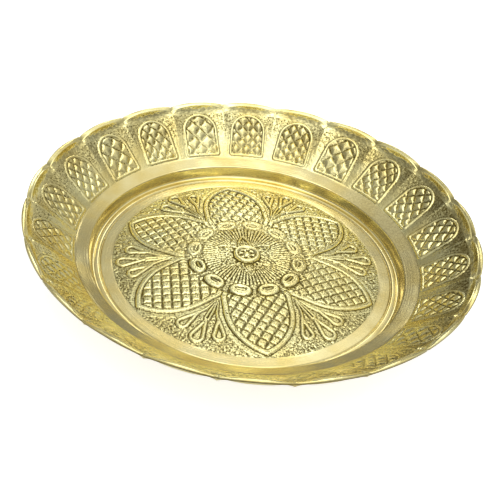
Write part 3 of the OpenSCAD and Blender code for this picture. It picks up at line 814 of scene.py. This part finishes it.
# Rows of points, as shares of the way along each part of the lip
INNER_ROWS, LIP_ROWS, EDGE_ROWS = (0.35, 0.7, 1.0), (0.15, 0.3, 0.45, 0.6, 0.75, 0.88), (0.0, 0.33, 0.66, 1.0)
FACE_ROWS, UNDER_ROWS, BACK_ROWS = (0.0, 0.5, 1.0), (0.35, 0.7, 1.0), (0.25, 0.5, 0.75, 1.0)


def rim_piece(name):
    """Collar, and the lip that rises and falls with the lobes."""
    n = WALL_POINTS
    theta = angles(n)
    phi, t = lobes(theta)[1:]
    outer = LOBE_AT * np.cos(phi) + np.sqrt(LOBE_R ** 2 - (LOBE_AT * np.sin(phi)) ** 2)
    outer = outer - NOTCH_ROUND * smooth(NOTCH_FROM, 1.0, t)
    fall = WAVE_R - np.sqrt(WAVE_R ** 2 - (outer * np.sin(phi)) ** 2)
    at_lip = on_circle(LIP_HAND_R, theta)
    hand = sum(height * noise(at_lip, size, seed) for height, size, seed in LIP_HAND)
    r_in = LIP_IN + LIP_IN_OUT - LIP_IN_BACK * t ** 2
    z_in = RIM_Z - LIP_SLOPE * (PLATE_R - r_in) - fall - SINK_IN - CREASE_DIP * t ** 4
    z_out = RIM_Z - LIP_SLOPE * (PLATE_R - outer) - fall - SINK_OUT
    foot_r, foot_z = WALL_TO[0] + WALL_UP[0] * rib(t), WALL_TO[1] + WALL_UP[1] * rib(t)
    rings, patina_and_shade = [], []

    def add(r, z, dark):
        rings.append(ring_points(n, r, z))
        patina_and_shade.append(np.broadcast_to(dark, n).astype(float))

    # collar, from the top of the wall to the lip: stippled like the wall
    for s in np.linspace(0, 1, COLLAR_ROWS):
        low_end, high_end = min(1.0, COLLAR_ENDS * s), min(1.0, COLLAR_ENDS * (1 - s))
        at = on_circle(foot_r, theta, COLLAR_H * s)
        grain = stipple(at, COLLAR_GRAIN_H, 71) * min(low_end, high_end)
        bulge = COLLAR_BULGE * math.sin(math.pi * s) * (1 - t ** 2) + grain
        # painted shade: a crescent under each lobe, strongest at the lobe's middle, and more on one side
        crescent_shade = COLLAR_SIDE_SHADE + LOBE_CRESCENT_SHADE * (1 - t ** 2) * high_end
        dark = COLLAR_PLAIN + COLLAR_TOP_SHADE * top_shade(theta) + crescent_shade * shade_weight(theta)
        add(foot_r + (r_in - foot_r) * s + BULGE_OUT * bulge,
            foot_z + (z_in - INNER_ROUND_Z - foot_z) * s - BULGE_DOWN * bulge,
            np.clip(dark - GRAIN_CLEAN * grain, 0, 1))
    # rounded inner edge
    for w in np.array(INNER_ROWS) * math.pi / 2:
        add(r_in + INNER_ROUND_R * (1 - math.cos(w)), z_in + INNER_ROUND_Z * (math.sin(w) - 1), EDGE_DULL)
    # lip
    lip_from, lip_to = r_in + INNER_ROUND_R, outer - EDGE_ROUND
    # painted shade on the lip's right side, in patches that follow its unevenness
    right = smooth(*LIP_RIGHT_SHADE_FROM, to_right(theta))
    plain, gain, middle = LIP_SHADE_SPOTS
    lip_dark = LIP_DULL + LIP_RIGHT_SHADE * right * (plain + gain * (hand - middle))
    for s in LIP_ROWS:
        add(lip_from + (lip_to - lip_from) * s,
            z_in + (z_out - z_in) * s + (hand + LIP_SWELL) * 4 * s * (1 - s), lip_dark)
    # rounded outer edge and the edge's face, with painted shade
    for a in EDGE_ROWS:
        w = a * math.pi / 2
        add(outer + EDGE_ROUND * (math.sin(w) - 1), z_out + EDGE_ROUND * (math.cos(w) - 1),
            EDGE_DULL + OUTER_EDGE_SHADE * a)
    under_z = z_out - LIP_T
    for w in np.array(FACE_ROWS) * math.pi / 2:
        add(outer + UNDER_ROUND * (math.cos(w) - 1), under_z + UNDER_ROUND * (1 - math.sin(w)), FACE_SHADE)
    # underside, back to the wall, with painted shade under the lip
    low_r, low_z = r_in + UNDER_LIP, z_in - LIP_T
    from_r = outer - UNDER_ROUND
    for s in UNDER_ROWS:
        add(from_r + (low_r - from_r) * s, under_z + (low_z - under_z) * s, UNDER_LIP_SHADE)
    back_r, back_z = foot_r - SHEET_T * WALL_UP[0], foot_z - SHEET_T * WALL_UP[1]
    for s in BACK_ROWS:
        add(low_r + (back_r - low_r) * s, low_z + (back_z - low_z) * s, UNDER_COLLAR_DULL)
    return ring_mesh(name, rings, patina_and_shade, True)


# Node helpers
def add_node(tree, kind, inputs=(), **settings):
    """A node with its settings. Each input is linked to another node's output, or set."""
    node = tree.nodes.new("ShaderNode" + kind)
    for key, value in settings.items():
        setattr(node, key, value)
    for key, value in dict(inputs).items():
        if isinstance(value, bpy.types.NodeSocket):
            tree.links.new(value, node.inputs[key])
        else:
            node.inputs[key].default_value = value
    return node


def new_material(name):
    """An empty material, its node tree, and the socket of its surface."""
    mat = bpy.data.materials.new(name)
    mat.use_nodes = True
    tree = mat.node_tree
    tree.nodes.clear()
    return mat, tree, add_node(tree, "OutputMaterial").inputs["Surface"]


def mix_colour(tree, factor, a, b):
    """Colour a where the factor is 0, b where it is 1."""
    inputs = {"Factor": factor, 6: a, 7: b}
    return add_node(tree, "Mix", inputs, data_type="RGBA").outputs[2]


def math_node(tree, kind, a, b=0.0):
    return add_node(tree, "Math", {0: a, 1: b}, operation=kind).outputs[0]


def plus(tree, a, b):
    return math_node(tree, "ADD", a, b)


def times(tree, a, b):
    return math_node(tree, "MULTIPLY", a, b)


def remap(tree, value, a, b, c, d):
    """value, with a to b stretched to c to d and held there."""
    ends = {"Value": value, "From Min": a, "From Max": b, "To Min": c, "To Max": d}
    return add_node(tree, "MapRange", ends).outputs["Result"]


def noise_node(tree, where, scale, detail):
    inputs = {"Vector": where, "Scale": scale, "Detail": detail}
    return add_node(tree, "TexNoise", inputs).outputs["Fac"]


# Brass. A noise is a scale per metre and a detail. A range is two values of a noise, and what
# they become where that is always the same.
BRASS_PALE, BRASS_GOLD = (0.93, 0.86, 0.43, 1), (0.84, 0.70, 0.27, 1)
# The turned zones get a darker copy of the same brass, as painted shade, and the floor's relief a brighter
# copy, as painted light
TURNED_PALE_SHADED, TURNED_GOLD_SHADED = (0.82, 0.72, 0.36, 1), (0.74, 0.60, 0.23, 1)
RELIEF_PALE_LIT, RELIEF_GOLD_LIT = (0.98, 0.93, 0.48, 1), (0.92, 0.80, 0.34, 1)
# colour of the patina in hollows, and of the painted shade
PATINA_AND_SHADE = (0.14, 0.105, 0.022, 1)
CLOUD, FINE, SPECK, LATHE = (55.0, 3.0), (900.0, 2.0), (1600.0, 1.0), (1500.0, 3.0)
BUMP_DETAIL = 2.0
TONE_RANGE, FINE_RANGE = (0.35, 0.65, 0.0, 1.0), (0.3, 0.7, -0.10, 0.10)
SPECK_RANGE, ROUGH_RANGE = (0.36, 0.47), (0.3, 0.7, -0.04, 0.05)
PATINA_ROUGHER = 0.22
LATHE_SLANT, LATHE_DRIFT = 0.6, 0.012  # how fast the lathe's lines change up and along them
LATHE_GLOSS, LATHE_TURN = 0.3, 0.25


def lathe_lines(tree, where):
    """Noise drawn out to fine circles round Z."""
    x, y, z = add_node(tree, "SeparateXYZ", {0: where}).outputs
    radius = math_node(tree, "SQRT", plus(tree, times(tree, x, x), times(tree, y, y)))
    slant, drift = times(tree, z, LATHE_SLANT), times(tree, x, LATHE_DRIFT)
    circles = add_node(tree, "CombineXYZ", {0: radius, 1: slant, 2: drift}).outputs[0]
    return noise_node(tree, circles, *LATHE)


def brass(name, pale, gold, dark, specks, rough, grain, depth, lines):
    """Brass in two tones, with a dark patina that also carries painted light and shade. dark is the pair of
    values of the mesh's patina_and_shade at which it starts and is full. specks is the strength of the small
    dark specks, grain and depth are the scale and the depth in metres of the bumps, and lines is the lathe's
    share in them."""
    mat, tree, surface = new_material(name)
    where = add_node(tree, "TexCoord").outputs["Object"]
    patina_and_shade = add_node(tree, "Attribute", attribute_name="patina_and_shade").outputs["Fac"]
    cloud = noise_node(tree, where, *CLOUD)
    fine = remap(tree, noise_node(tree, where, *FINE), *FINE_RANGE)
    speck = remap(tree, noise_node(tree, where, *SPECK), *SPECK_RANGE, specks, 0.0)
    tone = mix_colour(tree, remap(tree, cloud, *TONE_RANGE), pale, gold)
    # patina and painted shade from the mesh, with fine noise and specks
    hollow_and_shade = plus(tree, plus(tree, patina_and_shade, fine), speck)
    hollow_and_shade = remap(tree, hollow_and_shade, *dark, 0.0, 1.0)
    spread = plus(tree, remap(tree, cloud, *ROUGH_RANGE), times(tree, hollow_and_shade, PATINA_ROUGHER))
    height = noise_node(tree, where, grain, BUMP_DETAIL)
    shader = {"Base Color": mix_colour(tree, hollow_and_shade, tone, PATINA_AND_SHADE), "Metallic": 1.0,
              "Roughness": plus(tree, spread, rough)}
    if lines:
        height = plus(tree, times(tree, lathe_lines(tree, where), lines), height)
        tangent = add_node(tree, "Tangent", direction_type="RADIAL", axis="Z")
        shader["Tangent"] = tangent.outputs[0]
        shader["Anisotropic"] = LATHE_GLOSS
        shader["Anisotropic Rotation"] = LATHE_TURN
    bump = add_node(tree, "Bump", {"Distance": depth, "Strength": 1.0, "Height": height})
    shader["Normal"] = bump.outputs[0]
    tree.links.new(add_node(tree, "BsdfPrincipled", shader).outputs[0], surface)
    return mat


# Tones, patina and painted shade, specks, roughness, scale and depth of the bumps, lathe's lines
BRASSES = {
    "relief_brass": (RELIEF_PALE_LIT, RELIEF_GOLD_LIT, (0.52, 0.82), 0.36, 0.18, 1500.0, 0.00012, 0.0),
    "stippled_brass": (BRASS_PALE, BRASS_GOLD, (0.55, 0.90), 0.32, 0.20, 1500.0, 0.00010, 0.0),
    "turned_brass": (TURNED_PALE_SHADED, TURNED_GOLD_SHADED, (0.6, 1.3), 0.0, 0.17, 700.0, 0.00002, 0.7),
    "polished_brass": (BRASS_PALE, BRASS_GOLD, (0.35, 1.1), 0.05, 0.18, 500.0, 0.00005, 0.0),
}
MATERIALS = {name: brass(name, *values) for name, values in BRASSES.items()}


# The pieces. Zones of the floor: first and last radius, number of rings, points in each.
CENTRE_R = 33.2  # where the middle piece of the floor ends
CENTRE_TOP = [(1.2, 8.8, 20, 270), (9.2, CENTRE_R, 60, 540)]
CENTRE_UNDER = [(CENTRE_R, 12.0, 26, 540), (11.2, 1.2, 12, 270)]
FIELD_TOP = [(CENTRE_R, FLOOR_R, 76, 1080)]
FIELD_UNDER = [(FLOOR_R, CENTRE_R, 24, 540)]
# Turned pieces: inner and outer radius, distance between rings, unevenness, groove, painted shade on the
# right side
RING = (FLOOR_R, RING_OUT, 0.25, 0.05, True, 0.0)
SIDE = (RING_OUT, SIDE_OUT, 0.35, 0.16, False, 0.0)
SHOULDER = (SIDE_OUT, SHOULDER_OUT, 0.35, 0.10, False, 0.6)


def finish_piece(obj, slot, *nodes):
    """Gives a piece its material, its body, its slot and the CAD nodes whose place it takes."""
    obj.data.materials.append(MATERIALS[slot])
    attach(obj, "root")
    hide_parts(*nodes)


def names(prefix, count):
    """Names of the CAD nodes of a row, which are numbered from 1."""
    return ["%s_%d" % (prefix, i + 1) for i in range(count)]


finish_piece(floor_piece("floor_centre", CENTRE_TOP, CENTRE_UNDER, False), "relief_brass",
             "centre_boss", "boss_star", "fine_rays", "crescent_beads")
finish_piece(floor_piece("floor_field", FIELD_TOP, FIELD_UNDER, True), "relief_brass",
             "floor_disc", *names("petal", PETALS), *names("sprig", PETALS))
finish_piece(turned_piece("turned_ring_sheet", *RING), "turned_brass", "turned_ring")
finish_piece(turned_piece("well_side_sheet", *SIDE), "turned_brass", "well_side")
finish_piece(turned_piece("shoulder_band_sheet", *SHOULDER), "turned_brass", "shoulder_band")
finish_piece(wall_piece("flared_wall_sheet"), "stippled_brass", "flared_wall", *names("arch", LOBES))
finish_piece(rim_piece("lobed_rim_sheet"), "polished_brass", "lobed_rim")


# Stage and lights. Lengths are in metres, angles in degrees.
WHITE = (1.0, 1.0, 1.0, 1)
FLOOR_TONE = (0.80, 0.80, 0.80, 1)
STAGE_HALF, STAGE_DROP, STAGE_ROUGH = 4.0, 0.0004, 0.9
FLOOR_GLOW = 0.7  # as the camera sees the stage floor
FLOOR_GLOW_SHINY = 0.2  # as the metal shows it
ROOM_LEVEL = 0.29
BACKDROP_FROM, BACKDROP_TO = 0.05, 0.12  # sines of the elevations where the backdrop ends
# Soft panels: azimuth, elevation, full within and gone beyond this many degrees, level
PANELS = [(0, 90, 14, 60, 0.50), (0, 62, 10, 30, 0.60), (0, 34, 22, 48, 0.40),
          (90, 44, 8, 34, 0.30), (140, 58, 8, 26, 0.35), (220, 58, 8, 26, 0.12),
          (178, 47, 6, 16, 0.22), (144, 17, 6, 22, 0.26), (166, 43, 2.5, 7, 0.5)]
# Lamps: azimuth, elevation, distance, width, height, level
LAMPS = {"lamp_top": (180, 88, 1.2, 0.80, 0.80, 1.25), "lamp_back": (176, 34, 1.4, 0.31, 0.42, 2.4)}


def background_rays(tree):
    """Two values that are 1 for the camera's rays, and for those that metal and glass send out."""
    path = add_node(tree, "LightPath")
    shiny = math_node(tree, "MAXIMUM", path.outputs["Is Glossy Ray"], path.outputs["Is Transmission Ray"])
    return path.outputs["Is Camera Ray"], shiny


def make_stage():
    """A pale floor that looks white and keeps the plate's shadow."""
    s = STAGE_HALF
    mesh = bpy.data.meshes.new("stage_floor")
    mesh.from_pydata([(-s, -s, 0), (s, -s, 0), (s, s, 0), (-s, s, 0)], [], [(0, 1, 2, 3)])
    obj = new_object("stage_floor", mesh)
    obj.location = (0, 0, -STAGE_DROP)
    mat, tree, surface = new_material("stage_floor")
    matt = add_node(tree, "BsdfPrincipled", {
        "Base Color": FLOOR_TONE, "Roughness": STAGE_ROUGH, "Specular IOR Level": 0.0})
    camera, shiny = background_rays(tree)
    shown = math_node(tree, "MAXIMUM", times(tree, camera, FLOOR_GLOW), times(tree, shiny, FLOOR_GLOW_SHINY))
    glow = add_node(tree, "Emission", {"Color": WHITE, "Strength": shown})
    both = add_node(tree, "AddShader", {0: matt.outputs[0], 1: glow.outputs[0]})
    tree.links.new(both.outputs[0], surface)
    mesh.materials.append(mat)


def direction(azimuth, elevation):
    """Unit vector from the plate. Azimuth 0 is the photographer's side, 90 is to their right."""
    a, e = math.radians(azimuth + VIEW_TURN), math.radians(elevation)
    return Vector((math.sin(a) * math.cos(e), -math.cos(a) * math.cos(e), math.sin(e)))


def make_world():
    """A plain room: soft pale panels on a darker ground, white at the foot of the backdrop."""
    world = bpy.data.worlds.new("studio")
    bpy.context.scene.world = world
    world.use_nodes = True
    tree = world.node_tree
    tree.nodes.clear()
    out = add_node(tree, "OutputWorld")
    where = add_node(tree, "TexCoord").outputs["Generated"]
    level = ROOM_LEVEL
    for azimuth, elevation, inner, outer, value in PANELS:
        dot = add_node(tree, "VectorMath", {0: where, 1: direction(azimuth, elevation)},
                       operation="DOT_PRODUCT")
        edge, full = math.cos(math.radians(outer)), math.cos(math.radians(inner))
        panel = remap(tree, dot.outputs["Value"], edge, full, 0.0, value)
        level = plus(tree, panel, level)
    shade = add_node(tree, "Background", {0: WHITE, 1: level})
    plain = add_node(tree, "Background", {0: WHITE, 1: 1.0})
    camera, shiny = background_rays(tree)
    up = add_node(tree, "SeparateXYZ", {0: where}).outputs[2]
    low = remap(tree, up, BACKDROP_TO, BACKDROP_FROM, 0.0, 1.0)
    white = math_node(tree, "MAXIMUM", camera, times(tree, shiny, low))
    mix = add_node(tree, "MixShader", {0: white, 1: shade.outputs[0], 2: plain.outputs[0]})
    tree.links.new(mix.outputs[0], out.inputs[0])


def area_light(name, azimuth, elevation, distance, width, height, level):
    """Soft lamp that faces the plate; level is its brightness as the metal shows it."""
    data = bpy.data.lights.new(name, "AREA")
    data.shape = "RECTANGLE"
    data.size, data.size_y = width, height
    data.energy = level * math.pi * width * height
    obj = new_object(name, data)
    at = direction(azimuth, elevation)
    obj.location = at * distance
    obj.rotation_mode = "QUATERNION"
    obj.rotation_quaternion = at.to_track_quat("Z", "Y")


make_stage()
make_world()
for name, values in LAMPS.items():
    area_light(name, *values)


# Camera, fitted to the photograph's circles. Its place is in plate radii.
FRAME_PX = 500.0
FOCAL_PX = 892.49
ELEVATION, ROLL = 38.223, 5.686
DISTANCE, AIM_X, AIM_Y, AIM_Z = 4.1278, -0.2588, 0.0531, SHEET_T / PLATE_R
SHIFT_PX = 60.0  # the photograph is cut from the right of a wider frame
SENSOR_MM, CLIP_M = 36.0, (0.01, 20.0)


def make_camera():
    """Camera at the fitted place, rolled about its own axis."""
    e, roll = math.radians(ELEVATION), math.radians(ROLL)
    ahead = Vector((0, math.cos(e), -math.sin(e)))
    level_right = Vector((1, 0, 0))
    level_up = Vector((0, math.sin(e), math.cos(e)))
    right = level_right * math.cos(roll) + level_up * math.sin(roll)
    up = level_up * math.cos(roll) - level_right * math.sin(roll)
    at = Vector((AIM_X, AIM_Y, AIM_Z)) - ahead * DISTANCE
    spin = Matrix.Rotation(math.radians(VIEW_TURN), 3, "Z")
    axes = Matrix((spin @ right, spin @ up, spin @ -ahead)).transposed()
    data = bpy.data.cameras.new("camera")
    data.sensor_width = SENSOR_MM
    data.sensor_fit = "HORIZONTAL"
    data.lens = FOCAL_PX / FRAME_PX * SENSOR_MM
    data.shift_x = SHIFT_PX / FRAME_PX
    data.clip_start, data.clip_end = CLIP_M
    obj = new_object("camera", data)
    obj.matrix_world = Matrix.Translation(spin @ at * PLATE_R * MM) @ axes.to_4x4()
    bpy.context.scene.camera = obj


make_camera()
bpy.context.scene.view_settings.view_transform = "Standard"
